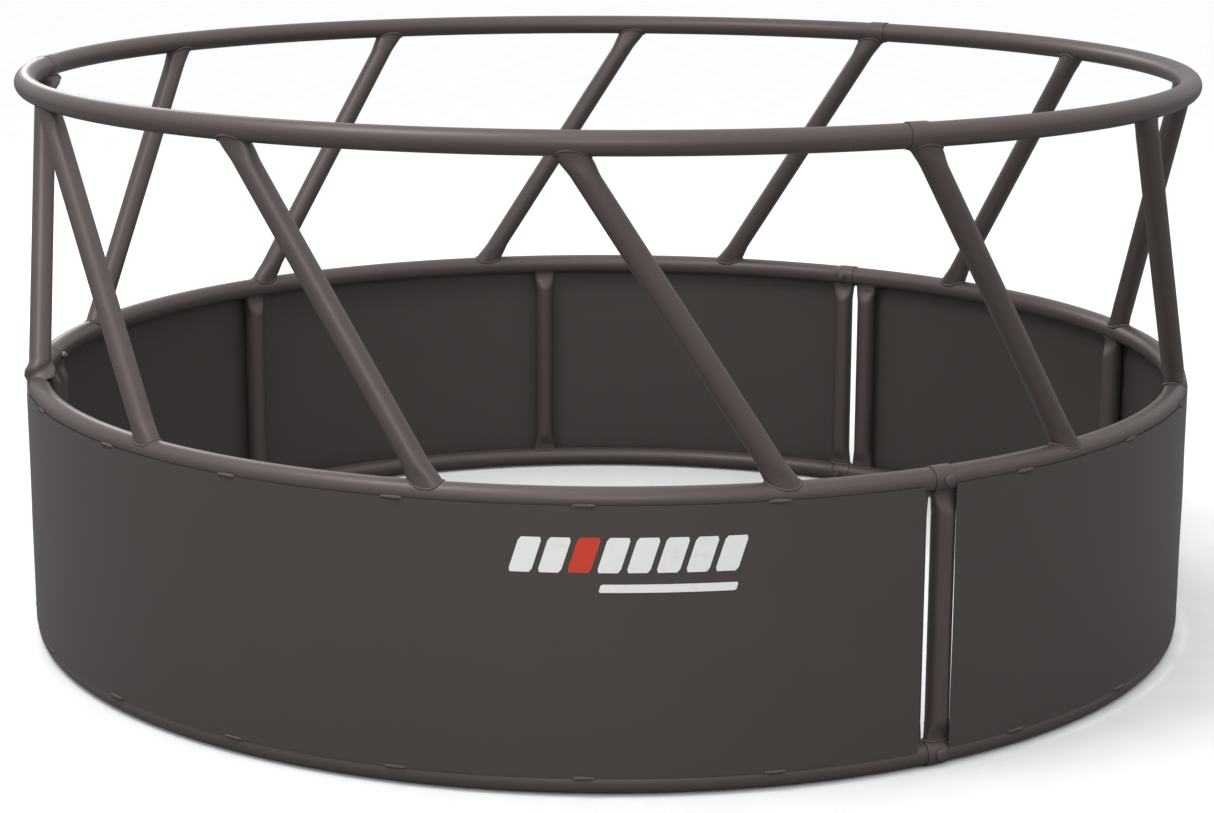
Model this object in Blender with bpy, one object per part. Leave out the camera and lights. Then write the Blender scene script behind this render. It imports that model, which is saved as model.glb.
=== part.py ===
"""Round bale feeder: three bolted sections of bent tube with a sheet-metal skirt.

Metres, +Z up, origin on the ground at the centre of the ring. Angles are in degrees,
counter-clockwise seen from above, with +X at 0.
"""

import math

import bmesh
import bpy
from mathutils import Vector

# Overall sizes. Both heights are from the ground: the first to the highest point, on a
# bell of the top rail, and the second to the top of the middle rail's plain tube.
OUTER_DIAMETER = 2.4384
OVERALL_HEIGHT = 1.172
SKIRT_HEIGHT = 0.5573

# Tube: one stock size for the rails, the slant bars and the uprights
TUBE_DIAMETER = 0.04445
TUBE_WALL = 0.00165

# Clearances
TOUCH_GAP = 0.0003
SLIP_GAP = 0.0005
SHANK_GAP = 0.0004

# Sections and their joints
SECTIONS = 3
FIRST_SEAM = 178.5
TOP_SEAM_LEAD = 3.3
BELL_LENGTH = 0.038
BELL_TAPER = 0.004
PLUG_SHORTFALL = 0.002

# Slant bars, from the top rail to the middle rail
BARS_PER_SECTION = 4
BAR_LEAD = 2.0
BAR_SWEEP = 18.9
BAR_END_SPREAD = 0.009
BAR_END_FLATTENING = 0.005
BAR_PINCH_LENGTH = 0.060

# Uprights, from the middle rail to the bottom rail
SEAM_GAP = 0.0185
INNER_UPRIGHT_ANGLES = (39.3, 77.8)
UPRIGHT_END_WIDTH = 0.0524
UPRIGHT_END_THICKNESS = 0.021
UPRIGHT_PINCH_LENGTH = 0.060

# Skirt sheet
SHEET_THICKNESS = 0.0015
SHEET_BELOW_MID_RAIL = 0.006
SHEET_ABOVE_BOTTOM_RAIL = 0.012
SHEET_END_SETBACK = 0.025

# Joint bolt and nut (3/8 in)
BOLT_FROM_MOUTH = 0.026
SHANK_DIAMETER = 0.0095
BOLT_HEAD_DIAMETER = 0.022
BOLT_HEAD_HEIGHT = 0.0055
BOLT_PAST_NUT = 0.004
NUT_ACROSS_FLATS = 0.0143
NUT_HEIGHT = 0.0083

# Decal on the front of the first section's sheet
DECAL_ANGLE = 271.8
DECAL_LENGTH = 0.410
DECAL_HEIGHT = 0.098
DECAL_BELOW_SHEET_TOP = 0.056
DECAL_THICKNESS = 0.0005

# Fineness of the facets
RAIL_SIDES = 12
RAIL_STEPS = 14
BOLT_SIDES = 12
DOME_STEPS = 3

# What follows from them
TUBE_RADIUS = TUBE_DIAMETER / 2
BORE_RADIUS = TUBE_RADIUS - TUBE_WALL
RING_RADIUS = OUTER_DIAMETER / 2 - TUBE_RADIUS
SECTION_ANGLE = 360 / SECTIONS
BAR_PITCH = SECTION_ANGLE / BARS_PER_SECTION
BELL_BORE = TUBE_RADIUS + SLIP_GAP
BELL_RADIUS = BELL_BORE + TUBE_WALL
TOP_HEIGHT = OVERALL_HEIGHT - BELL_RADIUS
MID_HEIGHT = SKIRT_HEIGHT - TUBE_RADIUS
BOTTOM_HEIGHT = BELL_RADIUS
SHEET_BORE = RING_RADIUS + TUBE_RADIUS + TOUCH_GAP
SHEET_START = BELL_LENGTH + BELL_TAPER + TOUCH_GAP
SHEET_TOP = MID_HEIGHT - SHEET_BELOW_MID_RAIL
SHEET_BOTTOM = BOTTOM_HEIGHT + SHEET_ABOVE_BOTTOM_RAIL
HOLE_RADIUS = SHANK_DIAMETER / 2 + SHANK_GAP
FLAT_END_RISE = TUBE_RADIUS * 1.3
BUTT_RISE = TUBE_RADIUS * 0.2


def degrees_of(length):
    """The angle that an arc of this length takes up on the rails' centre line."""
    return math.degrees(length / RING_RADIUS)


def polar(angle, radius, height=0.0):
    turn = math.radians(angle)
    return Vector((radius * math.cos(turn), radius * math.sin(turn), height))


def outward(angle):
    return polar(angle, 1.0)


def along_ring(angle):
    return polar(angle + 90, 1.0)


# Objects and materials


def clear_scene():
    for item in list(bpy.data.objects):
        bpy.data.objects.remove(item, do_unlink=True)


def make_material(name, colour, roughness, metallic):
    material = bpy.data.materials.new(name)
    material.use_nodes = True
    surface = material.node_tree.nodes["Principled BSDF"]
    surface.inputs["Base Color"].default_value = (*colour, 1.0)
    surface.inputs["Roughness"].default_value = roughness
    surface.inputs["Metallic"].default_value = metallic
    material.diffuse_color = (*colour, 1.0)
    return material


def add_object(name, mesh, material, parent=None):
    item = bpy.data.objects.new(name, mesh)
    bpy.context.scene.collection.objects.link(item)
    item.parent = parent
    if material:
        mesh.materials.append(material)
    mesh.shade_smooth()
    mesh.set_sharp_from_angle(angle=math.radians(40))
    return item


def add_section(number):
    """An empty at the centre of the ring that carries the pieces of one section."""
    item = bpy.data.objects.new(f"section_{number}", None)
    bpy.context.scene.collection.objects.link(item)
    return item


def mesh_of(name, shape):
    bmesh.ops.recalc_face_normals(shape, faces=shape.faces)
    mesh = bpy.data.meshes.new(name)
    shape.to_mesh(mesh)
    shape.free()
    return mesh


# Lofts: every tube, bolt and sheet is a row of loops joined up


def loop_of(shape, points):
    return [shape.verts.new(point) for point in points]


def join_loops(shape, first, second):
    count = len(first)
    for i in range(count):
        j = (i + 1) % count
        shape.faces.new((first[i], first[j], second[j], second[i]))


def solid_loft(name, rows, closed=False):
    shape = bmesh.new()
    loops = [loop_of(shape, row) for row in rows]
    for first, second in zip(loops, loops[1:]):
        join_loops(shape, first, second)
    if closed:
        join_loops(shape, loops[-1], loops[0])
    else:
        shape.faces.new(loops[0])
        shape.faces.new(loops[-1])
    return mesh_of(name, shape)


def hollow_loft(name, outer_rows, inner_rows):
    shape = bmesh.new()
    outer = [loop_of(shape, row) for row in outer_rows]
    inner = [loop_of(shape, row) for row in inner_rows]
    for loops in (outer, inner):
        for first, second in zip(loops, loops[1:]):
            join_loops(shape, first, second)
    join_loops(shape, outer[0], inner[0])
    join_loops(shape, outer[-1], inner[-1])
    return mesh_of(name, shape)


def cut(item, cutters):
    """Subtracts each cutter and leaves the result as the object's own mesh."""
    for cutter in cutters:
        modifier = item.modifiers.new("cut", "BOOLEAN")
        modifier.operation = "DIFFERENCE"
        modifier.solver = "EXACT"
        modifier.object = cutter
    graph = bpy.context.evaluated_depsgraph_get()
    mesh = bpy.data.meshes.new_from_object(item.evaluated_get(graph))
    item.modifiers.clear()
    item.data = mesh


def hide_cutter(item):
    item.hide_render = True
    item.display_type = "WIRE"


# Rails


def rail_angles(seam):
    """Where one section's rail has a section loop, with the radius of tube and bore there."""
    bell = seam + degrees_of(BELL_LENGTH)
    plain = bell + degrees_of(BELL_TAPER)
    next_seam = seam + SECTION_ANGLE
    rows = [(seam, BELL_RADIUS, BELL_BORE), (bell, BELL_RADIUS, BELL_BORE)]
    for step in range(RAIL_STEPS + 1):
        angle = plain + (next_seam - plain) * step / RAIL_STEPS
        rows.append((angle, TUBE_RADIUS, BORE_RADIUS))
    plug_end = next_seam + degrees_of(BELL_LENGTH - PLUG_SHORTFALL)
    rows.append((plug_end, TUBE_RADIUS, BORE_RADIUS))
    return rows


def round_section(angle, height, radius):
    """A regular polygon around the tube's centre line, with a flat side down and one outwards."""
    centre = polar(angle, RING_RADIUS, height)
    reach = radius / math.cos(math.pi / RAIL_SIDES)
    points = []
    for side in range(RAIL_SIDES):
        turn = 2 * math.pi * (side + 0.5) / RAIL_SIDES
        across = outward(angle) * (reach * math.cos(turn))
        points.append(centre + across + Vector((0, 0, reach * math.sin(turn))))
    return points


def rail_mesh(name, seam, height):
    rows = rail_angles(seam)
    outer = [round_section(angle, height, tube) for angle, tube, bore in rows]
    inner = [round_section(angle, height, bore) for angle, tube, bore in rows]
    return hollow_loft(name, outer, inner)


def ring_cutter(name, first_seam, height):
    """The whole ring at one height as a solid, grown by the gap that a welded tube end keeps."""
    rows = []
    for section in range(SECTIONS):
        seam = first_seam + section * SECTION_ANGLE
        for angle, tube, bore in rail_angles(seam)[:-1]:
            rows.append(round_section(angle, height, tube + TOUCH_GAP))
    item = add_object(name, solid_loft(name, rows, closed=True), None)
    hide_cutter(item)
    return item


def chord_point(seam, angle, radius, height):
    """A point on the rail's own facets, which lie a little inside the true circle."""
    angles = [row[0] for row in rail_angles(seam)]
    for low, high in zip(angles, angles[1:]):
        if low <= angle <= high:
            share = (angle - low) / (high - low)
            start = polar(low, radius, height)
            return start.lerp(polar(high, radius, height), share)
    return polar(angle, radius, height)


# Straight tubes with shaped ends

# Where the eight corners of a level slice lie, as shares of its half width and half
# thickness: round tube, the squarer slice of a coped end, and the flatter one of a butt end.
ROUND_CORNERS = (math.tan(math.pi / 8), math.tan(math.pi / 8))
ROUND_HALF = TUBE_RADIUS * math.cos(math.pi / 8)
COPED_CORNERS = (0.40, 0.55)
FLAT_CORNERS = (0.40, 0.80)


def tube_slice(centre, angle, half_along, half_out, corners):
    side, face = corners
    shares = [(1, -side), (1, side), (face, 1), (-face, 1)]
    shares += [(-along, -out) for along, out in shares]
    points = []
    for along, out in shares:
        shift = along_ring(angle) * (half_along * along) + outward(angle) * (half_out * out)
        points.append(centre + shift)
    return points


def coped_rows():
    """The slices of a slant bar's end, a little wide and flat, before it is cut to fit the rail."""
    half_width = (TUBE_DIAMETER + BAR_END_SPREAD) / 2
    half_thickness = (TUBE_DIAMETER - BAR_END_FLATTENING) / 2
    return [
        (0, half_width, half_thickness, COPED_CORNERS),
        (TUBE_RADIUS, half_width, half_thickness, COPED_CORNERS),
        (BAR_PINCH_LENGTH, ROUND_HALF, ROUND_HALF, ROUND_CORNERS),
    ]


def butt_rows():
    """The slices of an upright's end, pressed flat where it meets the underside of a rail."""
    half_width = UPRIGHT_END_WIDTH / 2
    half_thickness = UPRIGHT_END_THICKNESS / 2
    return [
        (BUTT_RISE, half_width, half_thickness, FLAT_CORNERS),
        (FLAT_END_RISE, half_width, half_thickness, FLAT_CORNERS),
        (UPRIGHT_PINCH_LENGTH, ROUND_HALF, ROUND_HALF, ROUND_CORNERS),
    ]


def shaped_tube_mesh(name, low, high):
    """A hollow tube of level slices between two rails.

    low and high each give the point on the rail's centre line, the angle that the end
    faces and its slices, from the rail outwards along the tube.
    """
    axis = high[0] - low[0]
    lean = math.hypot(axis.x, axis.y) / axis.z
    stretch = math.sqrt(1 + lean * lean)
    middle_angle = (low[1] + high[1]) / 2
    slices = []
    for (end, end_angle, rows), sign in ((low, 1), (high, -1)):
        for rise, half_along, half_out, corners in rows:
            angle = middle_angle if corners == ROUND_CORNERS else end_angle
            centre = end + axis * (sign * rise / axis.z)
            slices.append((centre, angle, half_along * stretch, half_out, corners))
    slices.sort(key=lambda row: row[0].z)
    outer = [tube_slice(*row) for row in slices]
    inner = []
    for centre, angle, half_along, half_out, corners in slices:
        bore = (half_along - TUBE_WALL * stretch, half_out - TUBE_WALL)
        inner.append(tube_slice(centre, angle, *bore, corners))
    return hollow_loft(name, outer, inner)


def add_slant_bar(name, seam, number, cutters, material, parent):
    top_angle = seam - BAR_LEAD + number * BAR_PITCH
    low_angle = top_angle + BAR_SWEEP
    high_point = chord_point(seam - TOP_SEAM_LEAD, top_angle, RING_RADIUS, TOP_HEIGHT)
    low_point = chord_point(seam, low_angle, RING_RADIUS, MID_HEIGHT)
    high = (high_point, top_angle, coped_rows())
    low = (low_point, low_angle, coped_rows())
    item = add_object(name, shaped_tube_mesh(name, low, high), material, parent)
    cut(item, cutters)


def add_upright(name, seam, angle, cutters, material, parent):
    low = (chord_point(seam, angle, RING_RADIUS, BOTTOM_HEIGHT), angle, butt_rows())
    high = (chord_point(seam, angle, RING_RADIUS, MID_HEIGHT), angle, butt_rows())
    item = add_object(name, shaped_tube_mesh(name, low, high), material, parent)
    cut(item, cutters)


def upright_angles(seam):
    from_seam = degrees_of((SEAM_GAP + TUBE_DIAMETER) / 2)
    inner = [seam + angle for angle in INNER_UPRIGHT_ANGLES]
    return [seam + from_seam, *inner, seam + SECTION_ANGLE - from_seam]


# Skirt sheet and decal


def plate_mesh(name, seam, start, end, inner_radius, thickness, low, high):
    """A curved plate that follows the facets of the section's rail."""
    angles = [start]
    angles += [row[0] for row in rail_angles(seam) if start < row[0] < end]
    angles.append(end)
    rows = []
    for angle in angles:
        inside = chord_point(seam, angle, inner_radius, 0)
        outside = chord_point(seam, angle, inner_radius + thickness, 0)
        up = Vector((0, 0, 1))
        rows.append((inside + up * low, outside + up * low, outside + up * high, inside + up * high))
    return solid_loft(name, rows)


def add_sheet(name, seam, material, parent):
    start = seam + degrees_of(SHEET_START)
    end = seam + SECTION_ANGLE - degrees_of(SHEET_END_SETBACK)
    heights = (SHEET_BOTTOM, SHEET_TOP)
    mesh = plate_mesh(name, seam, start, end, SHEET_BORE, SHEET_THICKNESS, *heights)
    add_object(name, mesh, material, parent)


def add_decal(name, seam, material, parent):
    half = degrees_of(DECAL_LENGTH) / 2
    bore = SHEET_BORE + SHEET_THICKNESS + TOUCH_GAP
    high = SHEET_TOP - DECAL_BELOW_SHEET_TOP
    span = (DECAL_ANGLE - half, DECAL_ANGLE + half)
    heights = (high - DECAL_HEIGHT, high)
    mesh = plate_mesh(name, seam, *span, bore, DECAL_THICKNESS, *heights)
    add_object(name, mesh, material, parent)


# Joint bolts and nuts, built along +X and then turned to the joint


def circle_points(x, radius, sides):
    points = []
    for side in range(sides):
        turn = 2 * math.pi * side / sides
        points.append(Vector((x, radius * math.cos(turn), radius * math.sin(turn))))
    return points


def bolt_seat():
    """How far the underside of the bolt's head and the face of its nut lie from the rail's centre."""
    return BELL_RADIUS + TOUCH_GAP


def bolt_mesh(name):
    seat = bolt_seat()
    tip = -(seat + NUT_HEIGHT + BOLT_PAST_NUT)
    shank = SHANK_DIAMETER / 2
    rows = [circle_points(tip, shank, BOLT_SIDES), circle_points(seat, shank, BOLT_SIDES)]
    for step in range(DOME_STEPS):
        rise = math.pi / 2 * step / DOME_STEPS
        x = seat + BOLT_HEAD_HEIGHT * math.sin(rise)
        rows.append(circle_points(x, BOLT_HEAD_DIAMETER / 2 * math.cos(rise), BOLT_SIDES))
    return solid_loft(name, rows)


def nut_mesh(name):
    """A hexagon of twelve points, six corners and six middles, around a round hole."""
    corner = NUT_ACROSS_FLATS / math.sqrt(3)
    rows = []
    for x in (-bolt_seat(), -bolt_seat() - NUT_HEIGHT):
        hexagon = []
        for side in range(BOLT_SIDES):
            turn = 2 * math.pi * side / BOLT_SIDES
            reach = corner if side % 2 == 0 else NUT_ACROSS_FLATS / 2
            hexagon.append(Vector((x, reach * math.cos(turn), reach * math.sin(turn))))
        rows.append((hexagon, circle_points(x, HOLE_RADIUS, BOLT_SIDES)))
    return hollow_loft(name, [row[0] for row in rows], [row[1] for row in rows])


def place_at_joint(item, seam, height):
    angle = seam + degrees_of(BOLT_FROM_MOUTH)
    item.location = polar(angle, RING_RADIUS, height)
    item.rotation_euler = (0, 0, math.radians(angle))


def hole_cutter(name, seam, height):
    """A bar through both walls of the bell and of the tube inside it."""
    reach = BELL_RADIUS * 2
    rows = [circle_points(-reach, HOLE_RADIUS, BOLT_SIDES), circle_points(reach, HOLE_RADIUS, BOLT_SIDES)]
    item = add_object(name, solid_loft(name, rows), None)
    place_at_joint(item, seam, height)
    hide_cutter(item)
    return item


def main():
    clear_scene()
    tube_paint = make_material("tube_paint", (0.089, 0.070, 0.068), 0.38, 0.0)
    sheet_paint = make_material("sheet_paint", (0.074, 0.062, 0.060), 0.55, 0.0)
    bolt_paint = make_material("bolt_paint", (0.098, 0.080, 0.077), 0.34, 0.0)
    vinyl = make_material("decal_vinyl", (0.80, 0.79, 0.75), 0.45, 0.0)

    top_cutter = ring_cutter("cut_top_ring", FIRST_SEAM - TOP_SEAM_LEAD, TOP_HEIGHT)
    mid_cutter = ring_cutter("cut_mid_ring", FIRST_SEAM, MID_HEIGHT)
    bottom_cutter = ring_cutter("cut_bottom_ring", FIRST_SEAM, BOTTOM_HEIGHT)
    seams = [FIRST_SEAM + SECTION_ANGLE * section for section in range(SECTIONS)]
    levels = (("mid", MID_HEIGHT), ("bottom", BOTTOM_HEIGHT))
    holes = {
        (level, section): hole_cutter(f"cut_{level}_{section + 1}", seams[section], height)
        for level, height in levels
        for section in range(SECTIONS)
    }
    bpy.context.view_layer.update()

    bolt_shape = bolt_mesh("joint_bolt")
    nut_shape = nut_mesh("joint_nut")
    for section, seam in enumerate(seams):
        number = section + 1
        parent = add_section(number)
        name = f"top_rail_{number}"
        add_object(name, rail_mesh(name, seam - TOP_SEAM_LEAD, TOP_HEIGHT), tube_paint, parent)
        for level, height in levels:
            name = f"{level}_rail_{number}"
            rail = add_object(name, rail_mesh(name, seam, height), tube_paint, parent)
            next_section = (section + 1) % SECTIONS
            cut(rail, (holes[level, section], holes[level, next_section]))
            for kind, shape in (("bolt", bolt_shape), ("nut", nut_shape)):
                piece = add_object(f"{level}_joint_{kind}_{number}", shape.copy(), bolt_paint, parent)
                place_at_joint(piece, seam, height)
        for bar in range(BARS_PER_SECTION):
            name = f"slant_bar_{number}{'abcdefgh'[bar]}"
            add_slant_bar(name, seam, bar, (top_cutter, mid_cutter), tube_paint, parent)
        for place, angle in enumerate(upright_angles(seam)):
            name = f"skirt_upright_{number}{'abcdefgh'[place]}"
            add_upright(name, seam, angle, (mid_cutter, bottom_cutter), tube_paint, parent)
        add_sheet(f"skirt_sheet_{number}", seam, sheet_paint, parent)
        if number == 1:
            add_decal("skirt_decal", seam, vinyl, parent)


main()
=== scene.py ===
"""Round bale feeder: its bent tubes, rolled sheets, welds, bolts and decal, finished in paint.

Laid out as a Blender add-on. The sizes and colours that someone would change are in the
property groups, and each operator makes one group of pieces. Metres, +Z up. The ring
stands on the ground at the origin, and angles run counter-clockwise seen from above.
"""

import math

import bmesh
import bpy
import numpy as np
from bpy.props import FloatProperty, FloatVectorProperty, IntProperty, PointerProperty
from mathutils import Matrix, Vector


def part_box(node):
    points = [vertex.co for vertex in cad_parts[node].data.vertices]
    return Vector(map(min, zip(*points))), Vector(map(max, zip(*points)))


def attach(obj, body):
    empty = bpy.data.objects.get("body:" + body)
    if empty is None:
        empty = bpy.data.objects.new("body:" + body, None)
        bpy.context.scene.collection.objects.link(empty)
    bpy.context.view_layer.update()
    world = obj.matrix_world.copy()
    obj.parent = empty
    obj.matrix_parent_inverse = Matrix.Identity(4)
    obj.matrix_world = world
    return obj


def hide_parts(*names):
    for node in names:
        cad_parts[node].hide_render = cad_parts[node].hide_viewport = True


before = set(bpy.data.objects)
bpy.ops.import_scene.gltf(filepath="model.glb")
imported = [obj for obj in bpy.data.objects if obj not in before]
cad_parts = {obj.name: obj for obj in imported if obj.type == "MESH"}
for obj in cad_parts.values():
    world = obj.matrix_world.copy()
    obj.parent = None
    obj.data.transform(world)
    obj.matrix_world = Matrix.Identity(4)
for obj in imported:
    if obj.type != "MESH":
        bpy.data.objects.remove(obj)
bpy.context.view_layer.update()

bl_info = {
    "name": "Round Bale Feeder",
    "version": (1, 0, 0),
    "blender": (4, 5, 0),
    "location": "View3D > Sidebar > Feeder",
    "description": "Makes the tubes, sheets, welds, bolts and decal of a round bale feeder",
    "category": "Object",
}

SECTIONS = 3
LEVELS = ("top", "mid", "bottom")
BAR_LETTERS = "abcd"
MERGE_DISTANCE = 0.00001
TOUCH_GAP = 0.0003

# How quickly a weld bead reaches its full size from either end
LOOP_FULLNESS = 60.0
STITCH_FULLNESS = 5.0

# Fasteners and decal
SHANK_RADIUS = 0.00475
NUT_BORE_RADIUS = 0.0050
BOLT_SIDES = 40
VINYL_THICKNESS = 0.0004

# Points in a rolled sheet, round the ring and up
SHEET_COLUMNS = 161
SHEET_ROWS = 33

# Where the stage's lights stand, and the height that they face
KEY_PLACE = (-2.0, -1.9, 4.4)
RIM_PLACE = (-2.6, 5.5, 3.2)
STRIP_ABOVE_CAMERA = 1.15
LIT_HEIGHT = 0.5


# Settings


class FeederTubes(bpy.types.PropertyGroup):
    outer_diameter: FloatProperty(
        name="Outer Diameter",
        description="Diameter of the ring over its plain tubes",
        default=2.4384,
        unit="LENGTH",
    )
    tube_diameter: FloatProperty(
        name="Tube Diameter",
        description="Outside diameter of the rails, bars and uprights",
        default=0.04445,
        unit="LENGTH",
    )
    tube_wall: FloatProperty(
        name="Tube Wall",
        description="Wall thickness of every tube",
        default=0.00165,
        unit="LENGTH",
    )
    bell_length: FloatProperty(
        name="Bell Length",
        description="Length of the widened rail end that takes the next rail",
        default=0.038,
        unit="LENGTH",
    )
    bell_taper: FloatProperty(
        name="Bell Taper",
        description="Length over which the bell comes down to the plain tube",
        default=0.010,
        unit="LENGTH",
    )
    tube_sides: IntProperty(
        name="Tube Sides",
        description="Number of faces round a tube",
        default=48,
        min=12,
    )


class FeederWelds(bpy.types.PropertyGroup):
    joint_bead: FloatProperty(
        name="Joint Bead",
        description="Radius of the weld bead round the end of a bar or an upright",
        default=0.0026,
        unit="LENGTH",
    )
    stitch_bead: FloatProperty(
        name="Stitch Bead",
        description="Radius of the stitch welds along the skirt sheet",
        default=0.0040,
        unit="LENGTH",
    )
    stitch_length: FloatProperty(
        name="Stitch Length",
        description="Length of one stitch weld",
        default=0.042,
        unit="LENGTH",
    )
    stitch_start: FloatProperty(
        name="Stitch Start",
        description="Angle from a section's joint to its first stitch weld",
        default=math.radians(9.7),
        subtype="ANGLE",
    )
    stitch_pitch: FloatProperty(
        name="Stitch Pitch",
        description="Angle from one stitch weld to the next",
        default=math.radians(16.0),
        subtype="ANGLE",
    )
    ripple: FloatProperty(
        name="Ripple",
        description="Distance from one ripple of a weld bead to the next",
        default=0.0032,
        unit="LENGTH",
    )


class FeederSheet(bpy.types.PropertyGroup):
    thickness: FloatProperty(
        name="Sheet Thickness",
        description="Thickness of the skirt sheet",
        default=0.0015,
        unit="LENGTH",
    )
    wave: FloatProperty(
        name="Wave Depth",
        description="How far the sheet bulges outwards between its tubes",
        default=0.0016,
        unit="LENGTH",
    )


# The tube, sheet and bolt colours have no effect while paint() finds the frame's materials
class FeederPaint(bpy.types.PropertyGroup):
    tube_colour: FloatVectorProperty(
        name="Tube Paint",
        description="Colour of the paint on the tubes",
        default=(0.066, 0.050, 0.048),
        subtype="COLOR",
        min=0,
        max=1,
    )
    sheet_colour: FloatVectorProperty(
        name="Sheet Paint",
        description="Colour of the paint on the skirt sheets",
        default=(0.060, 0.050, 0.047),
        subtype="COLOR",
        min=0,
        max=1,
    )
    bolt_colour: FloatVectorProperty(
        name="Bolt Paint",
        description="Colour of the painted-over bolts and nuts",
        default=(0.075, 0.060, 0.057),
        subtype="COLOR",
        min=0,
        max=1,
    )
    vinyl_colour: FloatVectorProperty(
        name="Decal White",
        description="Main colour of the decal",
        default=(0.86, 0.86, 0.84),
        subtype="COLOR",
        min=0,
        max=1,
    )
    accent_colour: FloatVectorProperty(
        name="Decal Accent",
        description="Colour of the decal's one coloured stripe",
        default=(0.62, 0.045, 0.020),
        subtype="COLOR",
        min=0,
        max=1,
    )


class FeederStage(bpy.types.PropertyGroup):
    camera_distance: FloatProperty(
        name="Camera Distance",
        description="Distance from the middle of the ring to the camera, over the ground",
        default=5.671,
        unit="LENGTH",
    )
    camera_height: FloatProperty(
        name="Camera Height",
        description="Height of the camera over the ground",
        default=1.711,
        unit="LENGTH",
    )
    camera_pitch: FloatProperty(
        name="Camera Pitch",
        description="Angle by which the camera looks down",
        default=math.radians(12.755),
        subtype="ANGLE",
    )
    camera_turn: FloatProperty(
        name="Camera Turn",
        description="Angle by which the camera looks to the left of the middle",
        default=math.radians(0.0),
        subtype="ANGLE",
    )
    camera_roll: FloatProperty(
        name="Camera Roll",
        description="Angle by which the camera is tipped to the left about its own axis",
        default=math.radians(0.19),
        subtype="ANGLE",
    )
    lens: FloatProperty(
        name="Lens",
        description="Focal length of the camera on a 36 mm sensor",
        default=79.93,
        unit="CAMERA",
    )
    horizon: FloatProperty(
        name="Horizon",
        description="Brightness of the even light from the sides",
        default=0.62,
    )
    zenith: FloatProperty(
        name="Zenith",
        description="Brightness of the even light from straight above",
        default=1.25,
    )
    key_power: FloatProperty(
        name="Key Power",
        description="Power of the large light over the front left of the ring",
        default=80.0,
        unit="POWER",
    )
    strip_power: FloatProperty(
        name="Strip Power",
        description="Power of the narrow light over the camera",
        default=50.0,
        unit="POWER",
    )
    rim_power: FloatProperty(
        name="Rim Power",
        description="Power of the light behind the ring",
        default=70.0,
        unit="POWER",
    )


# Places that come from the frame


def polar(angle, radius, height=0.0):
    """A point from its angle in radians."""
    return Vector((radius * math.cos(angle), radius * math.sin(angle), height))


def node_points(node):
    return [vertex.co.copy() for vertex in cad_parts[node].data.vertices]


def angle_of(point):
    return math.atan2(point.y, point.x)


def middle_of(node):
    low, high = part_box(node)
    return (low + high) / 2


def span_of(node):
    """The first and the last angle that a node covers, going counter-clockwise."""
    middle = angle_of(middle_of(node))
    turns = [(angle_of(point) - middle + math.pi) % math.tau - math.pi for point in node_points(node)]
    return middle + min(turns), middle + max(turns)


def outer_radius_of(node):
    return max(math.hypot(point.x, point.y) for point in node_points(node))


def rail_height(level):
    return middle_of(f"{level}_rail_1").z


def bell_radius():
    low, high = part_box("mid_rail_1")
    return (high.z - low.z) / 2


def axis_points(node, heights):
    """Where the centre line of a straight tube reaches these heights.

    The line runs through the middles of its two plain slices, which are the only ones
    that lie clear of both rails.
    """
    low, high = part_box(node)
    middle = (low.z + high.z) / 2
    clear = tube_radius() * 1.2
    below = [point for point in node_points(node) if low.z + clear < point.z < middle]
    above = [point for point in node_points(node) if middle < point.z < high.z - clear]
    start = sum(below, Vector()) / len(below)
    end = sum(above, Vector()) / len(above)
    return [start + (end - start) * ((height - start.z) / (end.z - start.z)) for height in heights]


def tube_radius():
    return bpy.context.scene.feeder_tubes.tube_diameter / 2


def ring_radius():
    return bpy.context.scene.feeder_tubes.outer_diameter / 2 - tube_radius()


def rail_radius_at(level, angle):
    """The radius of the rail at this angle: the bell's, or the plain tube's."""
    bell_angle = bpy.context.scene.feeder_tubes.bell_length / ring_radius()
    for section in range(1, SECTIONS + 1):
        start = span_of(f"{level}_rail_{section}")[0]
        past = (angle - start + math.pi) % math.tau - math.pi
        if 0 <= past < bell_angle:
            return bell_radius()
    return tube_radius()


# Node trees


class Nodes:
    """Adds nodes to a tree, with their settings and inputs."""

    def __init__(self, tree):
        self.tree = tree

    def feed(self, socket, value):
        if isinstance(value, bpy.types.NodeSocket):
            self.tree.links.new(value, socket)
        else:
            socket.default_value = value

    def add(self, kind, inputs=None, **settings):
        node = self.tree.nodes.new(kind)
        for name, value in settings.items():
            setattr(node, name, value)
        for name, value in (inputs or {}).items():
            self.feed(node.inputs[name], value)
        return node

    def math(self, operation, *values):
        node = self.add("ShaderNodeMath", operation=operation)
        for socket, value in zip(node.inputs, values):
            self.feed(socket, value)
        return node.outputs[0]

    def ramp(self, value, low, high, low_value=0.0, high_value=1.0):
        """Maps value from low..high to low_value..high_value with soft ends."""
        node = self.add("ShaderNodeMapRange", interpolation_type="SMOOTHSTEP")
        for socket, number in zip(node.inputs, (value, low, high, low_value, high_value)):
            self.feed(socket, number)
        return node.outputs[0]


def geometry_tree(name, sockets):
    """A Geometry Nodes tree with a geometry input and output and the named inputs."""
    tree = bpy.data.node_groups.new(name, "GeometryNodeTree")
    tree.interface.new_socket("Geometry", in_out="INPUT", socket_type="NodeSocketGeometry")
    for label, kind in sockets:
        tree.interface.new_socket(label, in_out="INPUT", socket_type=f"NodeSocket{kind}")
    tree.interface.new_socket("Geometry", in_out="OUTPUT", socket_type="NodeSocketGeometry")
    nodes = Nodes(tree)
    given = nodes.add("NodeGroupInput").outputs
    return tree, nodes, given


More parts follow.
